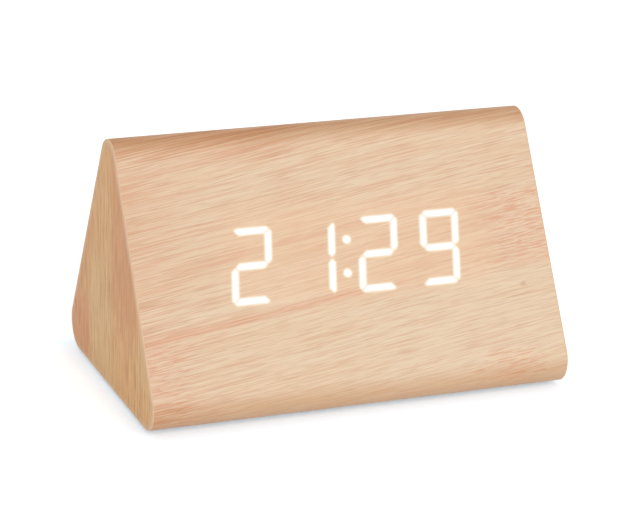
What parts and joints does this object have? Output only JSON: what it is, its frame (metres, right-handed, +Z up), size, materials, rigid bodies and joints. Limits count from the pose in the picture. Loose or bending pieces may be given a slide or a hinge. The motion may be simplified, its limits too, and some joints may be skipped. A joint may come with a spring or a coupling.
{
  "type": "digital led desk clock",
  "caption": "Triangular wood-look desk clock with slanted seven-segment light digits, rear buttons and a battery door underneath.",
  "frame": {"origin": "on the table under the middle of the clock, at the bottom of the rubber feet", "axes": "+X along the clock to the right as its face is read, +Y to the back, +Z up"},
  "size_m": [0.12, 0.0792, 0.0714],
  "materials": {
    "mdf": "raw fibreboard",
    "wood_film": "satin printed wood film",
    "wood_film_end": "satin printed wood film",
    "lit": "lit from behind",
    "white_moulding": "matt",
    "milky_resin": "milky",
    "board": "solder mask",
    "screw_steel": "zinc plated",
    "plated_steel": "nickel plated",
    "chip_black": "moulded",
    "socket_black": "moulded",
    "button_black": "satin",
    "black_plastic": "fine spark texture",
    "rubber": "matt",
    "cell": "printed jacket",
    "ribbon_grey": "ribbed",
    "red_insulation": "smooth",
    "black_insulation": "smooth"
  },
  "bodies": {
    "clock": {"mdf_sleeve": "mdf", "left_end_panel": "mdf", "right_end_panel": "mdf", "wrap_film": "wood_film", "left_end_film": "wood_film_end", "right_end_film": "wood_film_end", "lit_segments": "lit", "segment_block": "white_moulding", "segment_lenses": "milky_resin", "led_chips": "milky_resin", "display_board": "board", "display_screws": "screw_steel", "driver_chip": "chip_black", "clock_crystal": "plated_steel", "display_header": "white_moulding", "key_board": "board", "key_spacers": "white_moulding", "key_screws": "screw_steel", "key_header": "white_moulding", "ribbon_cable": "ribbon_grey", "buzzer": "chip_black", "power_socket": "socket_black", "socket_pin": "plated_steel", "base_plate": "black_plastic", "base_screws": "screw_steel", "rubber_feet": "rubber", "battery_contacts": "plated_steel", "battery_springs": "plated_steel", "lead_plug": "white_moulding", "red_lead": "red_insulation", "black_lead": "black_insulation", "set_switch": "chip_black", "up_switch": "chip_black", "down_switch": "chip_black", "cell_1": "cell", "cell_2": "cell", "cell_3": "cell", "cell_4": "cell"},
    "battery_door": {"battery_door": "black_plastic", "door_latch": "black_plastic"},
    "set_button": {"set_button": "button_black", "set_plunger": "white_moulding"},
    "up_button": {"up_button": "button_black", "up_plunger": "white_moulding"},
    "down_button": {"down_button": "button_black", "down_plunger": "white_moulding"}
  },
  "joints": [
    {"name": "battery_door_hinge", "type": "hinge", "parent": "clock", "child": "battery_door", "pos_m": [-0.0266, 0, 0.0012], "axis": [0, 1, 0], "range_deg": [0, 75], "deforming": ["door_latch"]},
    {"name": "set_button_press", "type": "slide", "parent": "clock", "child": "set_button", "axis": [0, -0.866, -0.5], "range_m": [0, 0.0005], "stiffness_N_per_m": 400},
    {"name": "up_button_press", "type": "slide", "parent": "clock", "child": "up_button", "axis": [0, -0.866, -0.5], "range_m": [0, 0.0005], "stiffness_N_per_m": 400},
    {"name": "down_button_press", "type": "slide", "parent": "clock", "child": "down_button", "axis": [0, -0.866, -0.5], "range_m": [0, 0.0005], "stiffness_N_per_m": 400}
  ]
}
